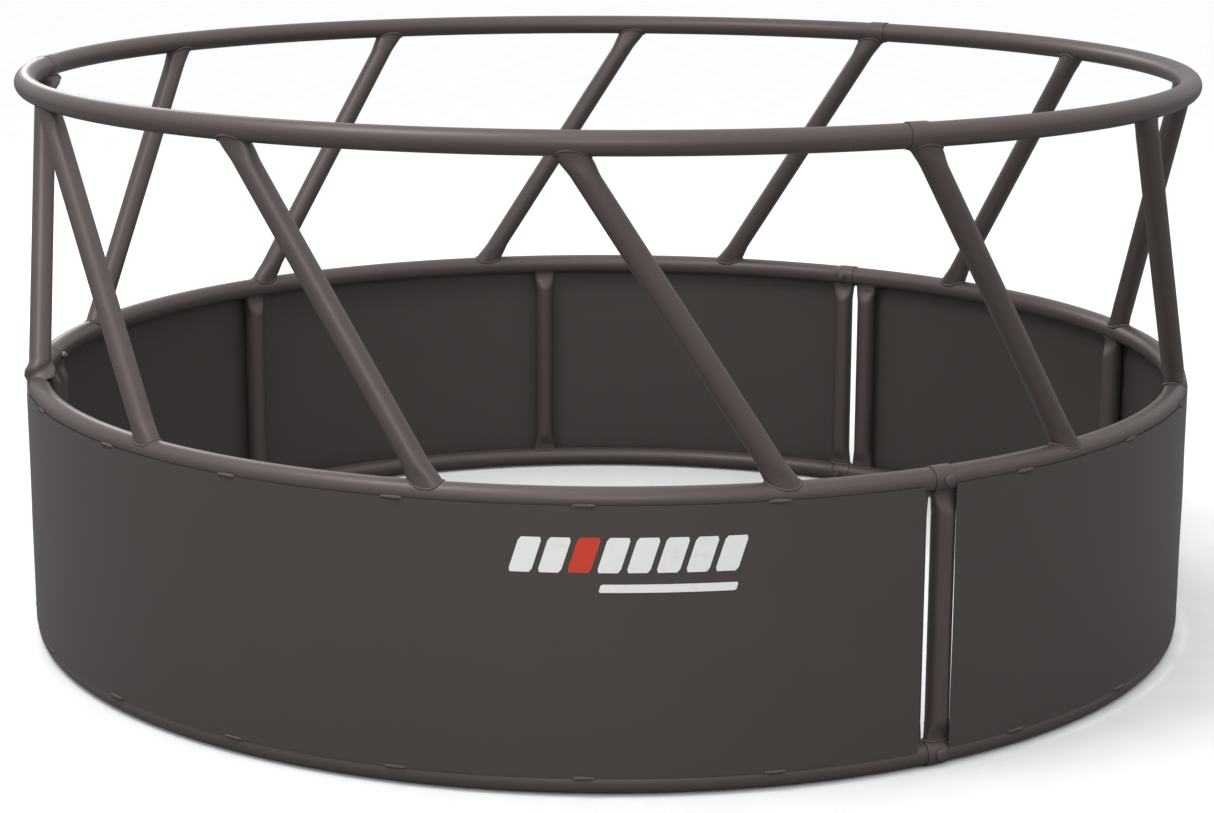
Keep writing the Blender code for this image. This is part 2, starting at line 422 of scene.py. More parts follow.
def end_tree(nodes, geometry, material):
    """Smooth shading, then Realize Instances and Set Material, as the last nodes of a tree."""
    smooth = nodes.add("GeometryNodeSetShadeSmooth", {"Geometry": geometry})
    real = nodes.add("GeometryNodeRealizeInstances", {"Geometry": smooth.outputs[0]})
    painted = nodes.add("GeometryNodeSetMaterial", {"Geometry": real.outputs[0], "Material": material})
    nodes.add("NodeGroupOutput", {"Geometry": painted.outputs[0]})


def on_ring(nodes, angle, radius, height):
    """A vector from an angle, a radius and a height."""
    x = nodes.math("MULTIPLY", radius, nodes.math("COSINE", angle))
    y = nodes.math("MULTIPLY", radius, nodes.math("SINE", angle))
    return nodes.add("ShaderNodeCombineXYZ", {"X": x, "Y": y, "Z": height}).outputs[0]


def run_tree(name, mesh, tree, values):
    """An object whose mesh is what the tree makes of the given mesh and values."""
    source = bpy.data.objects.new(name + "_source", mesh)
    bpy.context.scene.collection.objects.link(source)
    modifier = source.modifiers.new("shape", "NODES")
    modifier.node_group = tree
    for item in tree.interface.items_tree:
        if item.in_out == "INPUT" and item.name in values:
            modifier[item.identifier] = values[item.name]
    graph = bpy.context.evaluated_depsgraph_get()
    result = bpy.data.meshes.new_from_object(source.evaluated_get(graph), depsgraph=graph)
    bpy.data.objects.remove(source, do_unlink=True)
    if not result.polygons:
        raise RuntimeError(f"{tree.name} made no faces for {name}")
    result.name = name
    return result


def keep_piece(name, mesh, slot, *replaced):
    """Adds a finished mesh to the feeder, riding on its one body."""
    piece = bpy.data.objects.new(name, mesh)
    bpy.context.scene.collection.objects.link(piece)
    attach(piece, "root")
    if replaced:
        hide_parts(*replaced)
    return piece


def line_mesh(name, paths):
    """A mesh of open lines, one for each row of points."""
    points = []
    edges = []
    for path in paths:
        first = len(points)
        points += [tuple(point) for point in path]
        edges += [(first + i, first + i + 1) for i in range(len(path) - 1)]
    mesh = bpy.data.meshes.new(name)
    mesh.from_pydata(points, edges, [])
    return mesh


# Materials


def new_material(name):
    material = bpy.data.materials.new(name)
    material.use_nodes = True
    nodes = Nodes(material.node_tree)
    surface = material.node_tree.nodes["Principled BSDF"]
    place = nodes.add("ShaderNodeTexCoord").outputs["Object"]
    return material, nodes, surface, place


def noise(nodes, place, scale, detail=2.0, stretch=(1, 1, 1)):
    if stretch != (1, 1, 1):
        place = nodes.add("ShaderNodeMapping", {"Vector": place, "Scale": stretch}).outputs[0]
    return nodes.add("ShaderNodeTexNoise", {"Vector": place, "Scale": scale, "Detail": detail}).outputs[0]


def blend_colours(nodes, factor, first, second):
    """Mixes two colours, each a colour or a socket."""
    node = nodes.add("ShaderNodeMix", data_type="RGBA")
    for socket, value in zip((node.inputs[0], node.inputs[6], node.inputs[7]), (factor, first, second)):
        nodes.feed(socket, value if isinstance(value, (float, bpy.types.NodeSocket)) else (*value, 1.0))
    return node.outputs[2]


def shade(colour, share):
    return tuple(channel * share for channel in colour)


def bump(nodes, height, distance, strength=1.0, normal=None):
    inputs = {"Height": height, "Distance": distance, "Strength": strength}
    if normal:
        inputs["Normal"] = normal
    return nodes.add("ShaderNodeBump", inputs).outputs[0]


def tube_paint():
    """Semi-gloss enamel over tube: slow drifts of tone, settled dust, orange peel and thin edges."""
    colour = tuple(bpy.context.scene.feeder_paint.tube_colour)
    material, nodes, surface, place = new_material("tube_paint")
    drift = nodes.ramp(noise(nodes, place, 2.2, 3.0), 0.35, 0.65)
    tone = blend_colours(nodes, drift, shade(colour, 0.94), shade(colour, 1.06))
    dust = nodes.ramp(noise(nodes, place, 55.0, 5.0), 0.56, 0.74, 0.0, 0.16)
    tone = blend_colours(nodes, dust, tone, (0.16, 0.14, 0.125))
    fleck = nodes.ramp(noise(nodes, place, 320.0, 1.0), 0.66, 0.72, 0.0, 0.35)
    tone = blend_colours(nodes, fleck, tone, shade(colour, 0.55))
    pointiness = nodes.add("ShaderNodeNewGeometry").outputs["Pointiness"]
    edge = nodes.ramp(pointiness, 0.53, 0.60, 0.0, 0.5)
    broken = nodes.math("MULTIPLY", edge, nodes.ramp(noise(nodes, place, 140.0, 3.0), 0.42, 0.62))
    tone = blend_colours(nodes, broken, tone, (0.19, 0.16, 0.15))
    nodes.feed(surface.inputs["Base Color"], tone)
    gloss = nodes.ramp(noise(nodes, place, 9.0, 4.0), 0.3, 0.7, 0.30, 0.40)
    nodes.feed(surface.inputs["Roughness"], nodes.math("ADD", gloss, nodes.math("MULTIPLY", dust, 0.9)))
    surface.inputs["Coat Weight"].default_value = 1.0
    surface.inputs["Coat Roughness"].default_value = 0.07
    surface.inputs["Coat IOR"].default_value = 1.8
    ridges = bump(nodes, noise(nodes, place, 24.0, 2.0), 0.00022)
    peel = bump(nodes, noise(nodes, place, 420.0, 2.0), 0.000014, normal=ridges)
    nodes.feed(surface.inputs["Normal"], peel)
    return material


def sheet_paint():
    """Satin enamel over rolled sheet: fields of short level flecks, and painted shade, with some dirt,
    along the edges by the rails.
    """
    colour = tuple(bpy.context.scene.feeder_paint.sheet_colour)
    low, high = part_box("skirt_sheet_1")
    material, nodes, surface, place = new_material("sheet_paint")
    drift = nodes.ramp(noise(nodes, place, 1.6, 4.0), 0.35, 0.65)
    tone = blend_colours(nodes, drift, shade(colour, 0.94), shade(colour, 1.06))
    field = nodes.ramp(noise(nodes, place, 2.1, 3.0), 0.42, 0.66, 0.15, 1.0)
    mottle = noise(nodes, place, 62.0, 5.0, (1, 1, 3.2))
    dark = nodes.math("MULTIPLY", nodes.ramp(mottle, 0.50, 0.66), field)
    tone = blend_colours(nodes, nodes.math("MULTIPLY", dark, 0.62), tone, shade(colour, 0.42))
    light = nodes.math("MULTIPLY", nodes.ramp(mottle, 0.46, 0.34), field)
    tone = blend_colours(nodes, nodes.math("MULTIPLY", light, 0.40), tone, shade(colour, 1.35))
    fleck = noise(nodes, place, 230.0, 2.0, (1, 1, 2.6))
    tone = blend_colours(nodes, nodes.ramp(fleck, 0.62, 0.70, 0.0, 0.5), tone, shade(colour, 0.40))
    # Painted shade: a near-black, ragged band along the top and bottom edges, where the rails shade the
    # sheet, with some dirt in it
    height = nodes.add("ShaderNodeSeparateXYZ", {"Vector": place}).outputs["Z"]
    ragged = nodes.math("MULTIPLY", noise(nodes, place, 90.0, 4.0), 0.012)
    shade_under_top = nodes.ramp(nodes.math("ADD", height, ragged), high.z - 0.003, high.z + 0.005)
    shade_over_bottom = nodes.ramp(nodes.math("SUBTRACT", height, ragged), low.z + 0.003, low.z - 0.005)
    grime_and_shade = nodes.math("MULTIPLY", nodes.math("MAXIMUM", shade_under_top, shade_over_bottom), 0.85)
    tone = blend_colours(nodes, grime_and_shade, tone, (0.008, 0.007, 0.007))
    nodes.feed(surface.inputs["Base Color"], tone)
    nodes.feed(surface.inputs["Roughness"], nodes.ramp(mottle, 0.35, 0.70, 0.55, 0.70))
    surface.inputs["Specular IOR Level"].default_value = 0.15
    grain = bump(nodes, noise(nodes, place, 60.0, 4.0, (1, 1, 3.0)), 0.0006)
    peel = bump(nodes, noise(nodes, place, 380.0, 2.0), 0.00012, normal=grain)
    nodes.feed(surface.inputs["Normal"], peel)
    return material


def bolt_paint():
    """The same enamel over a bolt: tone that drifts at random, and rubbed on the edges."""
    colour = tuple(bpy.context.scene.feeder_paint.bolt_colour)
    material, nodes, surface, place = new_material("bolt_paint")
    pointiness = nodes.add("ShaderNodeNewGeometry").outputs["Pointiness"]
    rubbed = nodes.ramp(pointiness, 0.52, 0.62)
    rubbed = nodes.math("MULTIPLY", rubbed, nodes.ramp(noise(nodes, place, 260.0, 3.0), 0.40, 0.60))
    drift = nodes.ramp(noise(nodes, place, 90.0, 3.0), 0.35, 0.65)
    tone = blend_colours(nodes, drift, shade(colour, 0.85), shade(colour, 1.15))
    tone = blend_colours(nodes, nodes.math("MULTIPLY", rubbed, 0.6), tone, (0.30, 0.28, 0.27))
    nodes.feed(surface.inputs["Base Color"], tone)
    nodes.feed(surface.inputs["Metallic"], nodes.math("MULTIPLY", rubbed, 0.5))
    nodes.feed(surface.inputs["Roughness"], nodes.ramp(drift, 0.0, 1.0, 0.30, 0.42))
    nodes.feed(surface.inputs["Normal"], bump(nodes, noise(nodes, place, 500.0, 2.0), 0.00012))
    return material


def vinyl(name, colour):
    """Cast vinyl: an even colour with faint grime and a skin that follows the sheet's grain."""
    material, nodes, surface, place = new_material(name)
    grime_and_shade = nodes.ramp(noise(nodes, place, 45.0, 5.0), 0.54, 0.78, 0.0, 0.20)
    scuff = nodes.ramp(noise(nodes, place, 210.0, 3.0, (1, 1, 4.0)), 0.66, 0.76, 0.0, 0.30)
    tone = blend_colours(nodes, grime_and_shade, colour, shade(colour, 0.55))
    tone = blend_colours(nodes, scuff, tone, shade(colour, 0.40))
    nodes.feed(surface.inputs["Base Color"], tone)
    nodes.feed(surface.inputs["Roughness"], nodes.ramp(noise(nodes, place, 30.0), 0.3, 0.7, 0.38, 0.50))
    nodes.feed(surface.inputs["Normal"], bump(nodes, noise(nodes, place, 300.0, 2.0), 0.00008))
    return material


def floor_paint():
    """A pale sweep with a barely visible grain, which throws little of its light back up."""
    material, nodes, surface, place = new_material("floor_pale")
    grain = nodes.ramp(noise(nodes, place, 8.0, 6.0), 0.3, 0.7)
    seen = blend_colours(nodes, grain, (0.93, 0.93, 0.93), (0.96, 0.96, 0.96))
    in_view = nodes.add("ShaderNodeLightPath").outputs["Is Camera Ray"]
    nodes.feed(surface.inputs["Base Color"], blend_colours(nodes, in_view, (0.26, 0.26, 0.26), seen))
    surface.inputs["Roughness"].default_value = 0.9
    surface.inputs["Specular IOR Level"].default_value = 0.1
    return material


def paint(name):
    """The named material, made here only if there is none of that name yet.

    The frame brings flat materials named tube_paint, sheet_paint and bolt_paint. They are
    found first, so the pieces wear those, and the functions of the same names don't run.
    """
    makers = {
        "tube_paint": tube_paint,
        "sheet_paint": sheet_paint,
        "bolt_paint": bolt_paint,
        "decal_white": lambda: vinyl("decal_white", tuple(bpy.context.scene.feeder_paint.vinyl_colour)),
        "decal_accent": lambda: vinyl("decal_accent", tuple(bpy.context.scene.feeder_paint.accent_colour)),
        "floor_pale": floor_paint,
    }
    return bpy.data.materials.get(name) or makers[name]()


# Rails


def rail_tree():
    """Bends a straight line round the ring and draws the tube on it.

    Each point of the line lies at its distance along the rail and carries the tube's
    outer and inner radius there. The two skins meet at the rims.
    """
    tree, nodes, given = geometry_tree(
        "Bent tube",
        (
            ("Start Angle", "Float"),
            ("Ring Radius", "Float"),
            ("Height", "Float"),
            ("Sides", "Int"),
            ("Merge Distance", "Float"),
            ("Material", "Material"),
        ),
    )
    place = nodes.add("GeometryNodeInputPosition").outputs[0]
    distance = nodes.add("ShaderNodeSeparateXYZ", {"Vector": place}).outputs["X"]
    turn = nodes.math("DIVIDE", distance, given["Ring Radius"])
    angle = nodes.math("ADD", given["Start Angle"], turn)
    target = on_ring(nodes, angle, given["Ring Radius"], given["Height"])
    bent = nodes.add("GeometryNodeSetPosition", {"Geometry": given["Geometry"], "Position": target})
    line = nodes.add("GeometryNodeMeshToCurve", {"Mesh": bent.outputs[0]})
    upright = nodes.add("GeometryNodeSetCurveNormal", {"Curve": line.outputs[0]}, mode="Z_UP")
    circle = nodes.add("GeometryNodeCurvePrimitiveCircle", {"Resolution": given["Sides"], "Radius": 1.0})
    skins = []
    for attribute in ("outer_radius", "inner_radius"):
        radius = nodes.add("GeometryNodeInputNamedAttribute", {"Name": attribute}, data_type="FLOAT")
        skin = nodes.add(
            "GeometryNodeCurveToMesh",
            {
                "Curve": upright.outputs[0],
                "Profile Curve": circle.outputs[0],
                "Scale": radius.outputs[0],
            },
        )
        skins.append(skin.outputs[0])
    inside = nodes.add("GeometryNodeFlipFaces", {"Mesh": skins[1]})
    both = nodes.add("GeometryNodeJoinGeometry")
    nodes.feed(both.inputs[0], skins[0])
    nodes.feed(both.inputs[0], inside.outputs[0])
    closed = nodes.add(
        "GeometryNodeMergeByDistance",
        {"Geometry": both.outputs[0], "Distance": given["Merge Distance"]},
    )
    end_tree(nodes, closed.outputs[0], given["Material"])
    return tree


def bell_stations():
    """(distance, outer radius, inner radius) from the bell's mouth to the plain tube."""
    tubes = bpy.context.scene.feeder_tubes
    wall = tubes.tube_wall
    wide = bell_radius()
    plain = tube_radius()
    middle = wide - wall / 2
    rows = []
    for step in range(5):
        turn = math.pi / 2 * step / 4
        out = wall / 2 * math.sin(turn)
        rows.append((wall / 2 * (1 - math.cos(turn)), middle + out, middle - out))
    for step in range(4):
        rows.append((tubes.bell_length * (step + 1) / 4, wide, wide - wall))
    for step in range(1, 7):
        share = step / 6
        fall = share * share * (3 - 2 * share)
        outer = wide + (plain - wide) * fall
        rows.append((tubes.bell_length + tubes.bell_taper * share, outer, outer - wall))
    return rows


def rail_stations(length):
    """The bell's stations, then plain tube every two degrees, then the rounded far rim."""
    tubes = bpy.context.scene.feeder_tubes
    wall = tubes.tube_wall
    plain = tube_radius()
    rows = bell_stations()
    start = rows[-1][0]
    end = length - wall / 2
    count = round((end - start) / (ring_radius() * math.radians(2)))
    for step in range(1, count + 1):
        rows.append((start + (end - start) * step / count, plain, plain - wall))
    middle = plain - wall / 2
    for step in range(1, 4):
        turn = math.pi / 2 * step / 3
        out = wall / 2 * math.cos(turn)
        rows.append((end + wall / 2 * math.sin(turn), middle + out, middle - out))
    return rows


def rail_line(name, length):
    rows = rail_stations(length)
    mesh = line_mesh(name, [[(row[0], 0, 0) for row in rows]])
    for column, label in ((1, "outer_radius"), (2, "inner_radius")):
        values = mesh.attributes.new(label, "FLOAT", "POINT")
        values.data.foreach_set("value", [row[column] for row in rows])
    return mesh


class FEEDER_OT_rails(bpy.types.Operator):
    """Bend the nine rails, each with a bell at its start and a plain end in the next bell"""

    bl_idname = "feeder.rails"
    bl_label = "Rails"

    def execute(self, context):
        tree = rail_tree()
        for level in LEVELS:
            for section in range(1, SECTIONS + 1):
                node = f"{level}_rail_{section}"
                start, end = span_of(node)
                values = {
                    "Start Angle": start,
                    "Ring Radius": ring_radius(),
                    "Height": rail_height(level),
                    "Sides": context.scene.feeder_tubes.tube_sides,
                    "Merge Distance": MERGE_DISTANCE,
                    "Material": paint("tube_paint"),
                }
                line = rail_line(node, (end - start) * ring_radius())
                keep_piece(f"{node}_tube", run_tree(node, line, tree, values), "tube_paint", node)
        return {"FINISHED"}


# Straight tubes with pressed ends


def eased(keys, rise):
    """The value at this rise from a list of (rise, value), with soft turns between them."""
    value = np.full_like(rise, keys[0][1])
    for (low, first), (high, second) in zip(keys, keys[1:]):
        share = np.clip((rise - low) / (high - low), 0, 1)
        share = share * share * (3 - 2 * share)
        value = np.where(rise >= low, first + (second - first) * share, value)
    return value


class PressedEnd:
    """How one end of a straight tube is pressed, by its rise from the rail's centre line.

    half_width and half_depth are the slice's size along the rail and across it, and corner
    is the exponent of its outline (2 is an ellipse, more is squarer). All are lists of
    (rise, value).
    """

    def __init__(self, point, angle, rail_radius, half_width, half_depth, corner):
        self.point = point
        self.angle = angle
        self.contact = rail_radius + TOUCH_GAP
        self.half_width = half_width
        self.half_depth = half_depth
        self.corner = corner
        self.length = half_width[-1][0]

    def slice(self, turn, rise, inset=0.0, stretch=1.0):
        """Where the outline is at this turn and rise: along the rail, and outwards from it."""
        width = (eased(self.half_width, rise) - inset) * stretch
        depth = eased(self.half_depth, rise) - inset
        power = 2 / eased(self.corner, rise)
        along = width * np.sign(np.cos(turn)) * np.abs(np.cos(turn)) ** power
        out = depth * np.sign(np.sin(turn)) * np.abs(np.sin(turn)) ** power
        return along, out

    def edge(self, turn):
        """The rise at which the tube meets the rail at each turn."""
        rise = np.zeros_like(turn)
        found = np.zeros_like(turn, dtype=bool)
        for step in np.linspace(self.contact * 1.05, 0, 400):
            out = self.slice(turn, np.full_like(turn, step))[1]
            inside = (step * step + out * out < self.contact**2) & ~found
            rise[inside] = step
            found |= inside
        return rise


def coped_end(point, angle, rail_radius):
    """A slant bar's end: a little wide and flat, and cut to sit on the round of the rail."""
    plain = tube_radius()
    return PressedEnd(
        point,
        angle,
        rail_radius,
        half_width=[(0.008, 0.0275), (0.024, 0.0262), (0.060, plain)],
        half_depth=[(0.008, 0.0197), (0.024, 0.0197), (0.060, plain)],
        corner=[(0.008, 2.5), (0.060, 2.0)],
    )


def butt_end(point, angle, rail_radius):
    """An upright's end, pressed flat and welded square on to the rail."""
    plain = tube_radius()
    return PressedEnd(
        point,
        angle,
        rail_radius,
        half_width=[(0.026, 0.0262), (0.066, plain)],
        half_depth=[(0.024, 0.0105), (0.030, 0.0108), (0.066, plain)],
        corner=[(0.026, 3.4), (0.066, 2.0)],
    )


def pressed_tube(name, low, high):
    """The mesh of a tube between two pressed ends, and the outline of each of its ends."""
    tubes = bpy.context.scene.feeder_tubes
    sides = tubes.tube_sides
    end_steps = 26
    straight_steps = 6
    axis = high.point - low.point
    lean = math.hypot(axis.x, axis.y) / axis.z
    stretch = math.sqrt(1 + lean * lean)
    middle_angle = (low.angle + high.angle) / 2
    turn = np.arange(sides) * math.tau / sides
    rows = []
    for end, sign in ((low, 1), (high, -1)):
        edge = end.edge(turn)
        for step in range(end_steps + 1):
            share = step / end_steps
            rise = edge + (end.length - edge) * share
            rows.append((end, sign, rise))
    low_rows = rows[: end_steps + 1]
    high_rows = rows[end_steps + 1 :][::-1]
    straight = []
    span = axis.z - low.length - high.length
    for step in range(1, straight_steps):
        rise = np.full(sides, low.length + span * step / straight_steps)
        straight.append((low, 1, rise))
    skins = []
    for inset in (0.0, tubes.tube_wall):
        skin = []
        for end, sign, rise in low_rows + straight + high_rows:
            along, out = end.slice(turn, rise, inset, stretch)
            share = np.clip(rise / end.length, 0, 1)
            facing = end.angle + (middle_angle - end.angle) * share * share * (3 - 2 * share)
            points = np.empty((sides, 3))
            points[:, 0] = -np.sin(facing) * along + np.cos(facing) * out
            points[:, 1] = np.cos(facing) * along + np.sin(facing) * out
            points[:, 2] = 0
            centre = np.array(end.point) + np.outer(sign * rise / axis.z, np.array(axis))
            skin.append(points + centre)
        skins.append(np.array(skin))
    outer, inner = skins
    count = len(outer)
    vertices = np.concatenate([outer.reshape(-1, 3), inner.reshape(-1, 3)])
    faces = []
    for row in range(count - 1):
        for side in range(sides):
            after = (side + 1) % sides
            a, b = row * sides + side, row * sides + after
            faces.append((a, b, b + sides, a + sides))
            c, d = a + count * sides, b + count * sides
            faces.append((d, c, c + sides, d + sides))
    for row, order in ((0, 1), (count - 1, -1)):
        for side in range(sides):
            after = (side + 1) % sides
            a, b = row * sides + side, row * sides + after
            quad = (b, a, a + count * sides, b + count * sides)
            faces.append(quad[::order])
    mesh = bpy.data.meshes.new(name)
    mesh.from_pydata([tuple(vertex) for vertex in vertices], [], faces)
    mesh.materials.append(paint("tube_paint"))
    mesh.shade_smooth()
    mesh.set_sharp_from_angle(angle=math.radians(55))
    return mesh, (outer[0], outer[-1])


def weld_loop(outline):
    """The line of a weld that runs all round a tube's end and meets its own start."""
    return [*outline, outline[0]]


def bar_ends(node):
    """The two ends of a slant bar, from its centre line in the frame."""
    ends = []
    levels = ("mid", "top")
    for level, place in zip(levels, axis_points(node, [rail_height(level) for level in levels])):
        angle = angle_of(place)
        point = polar(angle, ring_radius(), place.z)
        ends.append(coped_end(point, angle, rail_radius_at(level, angle)))
    return ends


def upright_ends(node):
    angle = angle_of(middle_of(node))
    ends = []
    for level in ("bottom", "mid"):
        point = polar(angle, ring_radius(), rail_height(level))
        ends.append(butt_end(point, angle, rail_radius_at(level, angle)))
    return ends


def place_tubes(kind, ends_of, welds, first_seed):
    """Places every straight tube of a kind, and a bead round both ends of each."""
    bead = bpy.context.scene.feeder_welds.joint_bead
    tree = bead_tree()
    for section in range(1, SECTIONS + 1):
        paths = []
        for letter in BAR_LETTERS:
            node = f"{kind}_{section}{letter}"
            mesh, outlines = pressed_tube(node, *ends_of(node))
            keep_piece(f"{node}_tube", mesh, "tube_paint", node)
            paths += [weld_loop(outline) for outline in outlines]
        make_beads(tree, f"{welds}_{section}", paths, bead, LOOP_FULLNESS, first_seed + section)


class FEEDER_OT_bars(bpy.types.Operator):
    """Press and place the slant bars and weld their ends to the rails"""

    bl_idname = "feeder.bars"
    bl_label = "Slant Bars"

    def execute(self, context):
        place_tubes("slant_bar", bar_ends, "bar_welds", 0)
        return {"FINISHED"}


class FEEDER_OT_uprights(bpy.types.Operator):
    """Press and place the uprights behind the skirt and weld them to the rails"""

    bl_idname = "feeder.uprights"
    bl_label = "Skirt Uprights"

    def execute(self, context):
        place_tubes("skirt_upright", upright_ends, "upright_welds", SECTIONS)
        return {"FINISHED"}


# Weld beads


def bead_tree():
    """Runs a rippled weld bead along every line that it is given."""
    found = bpy.data.node_groups.get("Weld bead")
    if found:
        return found
    tree, nodes, given = geometry_tree(
        "Weld bead",
        (
            ("Bead Radius", "Float"),
            ("Ripple Length", "Float"),
            ("Ripple Depth", "Float"),
            ("Lumpiness", "Float"),
            ("End Fullness", "Float"),
            ("Sides", "Int"),
            ("Seed", "Int"),
            ("Material", "Material"),
        ),
    )
    line = nodes.add("GeometryNodeMeshToCurve", {"Mesh": given["Geometry"]})
    step = nodes.math("DIVIDE", given["Ripple Length"], 4.0)
    fine = nodes.add(
        "GeometryNodeResampleCurve",
        {"Curve": line.outputs[0], "Length": step},
        mode="LENGTH",
    )
    along = nodes.add("GeometryNodeSplineParameter").outputs
    phase = nodes.math("MULTIPLY", nodes.math("DIVIDE", along["Length"], given["Ripple Length"]), math.tau)
    ripple = nodes.math("MULTIPLY", nodes.math("SINE", phase), given["Ripple Depth"])
    place = nodes.add("GeometryNodeInputPosition").outputs[0]
    lumps = nodes.add(
        "ShaderNodeTexNoise",
        {"Vector": place, "W": given["Seed"], "Scale": 110.0, "Detail": 1.0},
        noise_dimensions="4D",
    )
    lump = nodes.math("MULTIPLY", nodes.math("SUBTRACT", lumps.outputs[0], 0.5), given["Lumpiness"])
    spare = nodes.math("SUBTRACT", 1.0, along["Factor"])
    ends = nodes.math("MULTIPLY", nodes.math("MULTIPLY", along["Factor"], spare), given["End Fullness"])
    taper = nodes.math("SQRT", nodes.math("MINIMUM", nodes.math("ADD", ends, 0.03), 1.0))
    size = nodes.math("ADD", nodes.math("ADD", 1.0, ripple), lump)
    radius = nodes.math("MULTIPLY", nodes.math("MULTIPLY", size, taper), given["Bead Radius"])
    circle = nodes.add("GeometryNodeCurvePrimitiveCircle", {"Resolution": given["Sides"], "Radius": 1.0})
    bead = nodes.add(
        "GeometryNodeCurveToMesh",
        {
            "Curve": fine.outputs[0],
            "Profile Curve": circle.outputs[0],
            "Scale": radius,
            "Fill Caps": True,
        },
    )
    end_tree(nodes, bead.outputs[0], given["Material"])
    return tree


def make_beads(tree, name, paths, radius, fullness, seed):
    values = {
        "Bead Radius": radius,
        "Ripple Length": bpy.context.scene.feeder_welds.ripple,
        "Ripple Depth": 0.16,
        "Lumpiness": 1.1,
        "End Fullness": fullness,
        "Sides": 10,
        "Seed": seed,
        "Material": paint("tube_paint"),
    }
    mesh = run_tree(name, line_mesh(name, paths), tree, values)
    keep_piece(name, mesh, "tube_paint")


def stitch_paths(node):
    """Short arcs along the top and the bottom edge of a section's sheet."""
    welds = bpy.context.scene.feeder_welds
    low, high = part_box(node)
    end = span_of(node)[1]
    seam = span_of(node.replace("skirt_sheet", "mid_rail"))[0]
    radius = outer_radius_of(node) - bpy.context.scene.feeder_sheet.thickness / 2
    half = welds.stitch_length / radius / 2
    paths = []
    for height in (low.z, high.z):
        angle = seam + welds.stitch_start
        while angle + half < end:
            turns = [angle + half * share / 6 for share in range(-6, 7)]
            paths.append([polar(turn, radius, height) for turn in turns])
            angle += welds.stitch_pitch
    return paths


class FEEDER_OT_stitches(bpy.types.Operator):
    """Stitch-weld the sheets to the rails along their top and bottom edges"""

    bl_idname = "feeder.stitches"
    bl_label = "Stitch Welds"

    def execute(self, context):
        tree = bead_tree()
        for section in range(1, SECTIONS + 1):
            paths = stitch_paths(f"skirt_sheet_{section}")
            bead = context.scene.feeder_welds.stitch_bead
            seed = 2 * SECTIONS + section
            make_beads(tree, f"stitch_welds_{section}", paths, bead, STITCH_FULLNESS, seed)
        return {"FINISHED"}


# Skirt sheets and decal


def sheet_tree():
    """Rolls a flat grid round the ring, lets it bulge a little and gives it its thickness."""
    tree, nodes, given = geometry_tree(
        "Rolled sheet",
        (
            ("Start Angle", "Float"),
            ("End Angle", "Float"),
            ("Inner Radius", "Float"),
            ("Low", "Float"),
            ("High", "Float"),
            ("Columns", "Int"),
            ("Rows", "Int"),
            ("Thickness", "Float"),
            ("Wave Depth", "Float"),
            ("Seed", "Int"),
            ("Merge Distance", "Float"),
            ("Material", "Material"),
        ),
    )
    grid = nodes.add(
        "GeometryNodeMeshGrid",
        {"Size X": 1.0, "Size Y": 1.0, "Vertices X": given["Columns"], "Vertices Y": given["Rows"]},
    )
    flat = nodes.add("GeometryNodeInputPosition").outputs[0]
    split = nodes.add("ShaderNodeSeparateXYZ", {"Vector": flat})
    across = nodes.math("ADD", split.outputs["X"], 0.5)
    up = nodes.math("ADD", split.outputs["Y"], 0.5)
    span = nodes.math("SUBTRACT", given["End Angle"], given["Start Angle"])
    angle = nodes.math("ADD", given["Start Angle"], nodes.math("MULTIPLY", span, across))
    rise = nodes.math("SUBTRACT", given["High"], given["Low"])
    height = nodes.math("ADD", given["Low"], nodes.math("MULTIPLY", rise, up))
    smooth_place = on_ring(nodes, angle, given["Inner Radius"], height)
    swell = nodes.add(
        "ShaderNodeTexNoise",
        {"Vector": smooth_place, "W": given["Seed"], "Scale": 4.5, "Detail": 1.0},
        noise_dimensions="4D",
    )
    held = nodes.math("SINE", nodes.math("MULTIPLY", up, math.pi))
    bulge = nodes.math("MULTIPLY", nodes.ramp(swell.outputs[0], 0.35, 0.70), given["Wave Depth"])
    radius = nodes.math("ADD", given["Inner Radius"], nodes.math("MULTIPLY", bulge, held))
    place = on_ring(nodes, angle, radius, height)
    rolled = nodes.add("GeometryNodeSetPosition", {"Geometry": grid.outputs[0], "Position": place})
    outside = nodes.add(
        "GeometryNodeExtrudeMesh",
        {"Mesh": rolled.outputs[0], "Offset Scale": given["Thickness"], "Individual": False},
        mode="FACES",
    )
    inside = nodes.add("GeometryNodeFlipFaces", {"Mesh": rolled.outputs[0]})
    both = nodes.add("GeometryNodeJoinGeometry")
    nodes.feed(both.inputs[0], outside.outputs[0])
    nodes.feed(both.inputs[0], inside.outputs[0])
    closed = nodes.add(
        "GeometryNodeMergeByDistance",
        {"Geometry": both.outputs[0], "Distance": given["Merge Distance"]},
    )
    end_tree(nodes, closed.outputs[0], given["Material"])
    return tree


class FEEDER_OT_sheets(bpy.types.Operator):
    """Roll the three skirt sheets"""

    bl_idname = "feeder.sheets"
    bl_label = "Skirt Sheets"

    def execute(self, context):
        tree = sheet_tree()
        sheet = context.scene.feeder_sheet
        for section in range(1, SECTIONS + 1):
            node = f"skirt_sheet_{section}"
            low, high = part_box(node)
            start, end = span_of(node)
            values = {
                "Start Angle": start,
                "End Angle": end,
                "Inner Radius": outer_radius_of(node) - sheet.thickness,
                "Low": low.z,
                "High": high.z,
                "Columns": SHEET_COLUMNS,
                "Rows": SHEET_ROWS,
                "Thickness": sheet.thickness,
                "Wave Depth": sheet.wave,
                "Seed": section,
                "Merge Distance": MERGE_DISTANCE,
                "Material": paint("sheet_paint"),
            }
            blank = bpy.data.meshes.new(node)
            mesh = run_tree(node, blank, tree, values)
            mesh.set_sharp_from_angle(angle=math.radians(40))
            keep_piece(f"{node}_rolled", mesh, "sheet_paint", node)
        return {"FINISHED"}


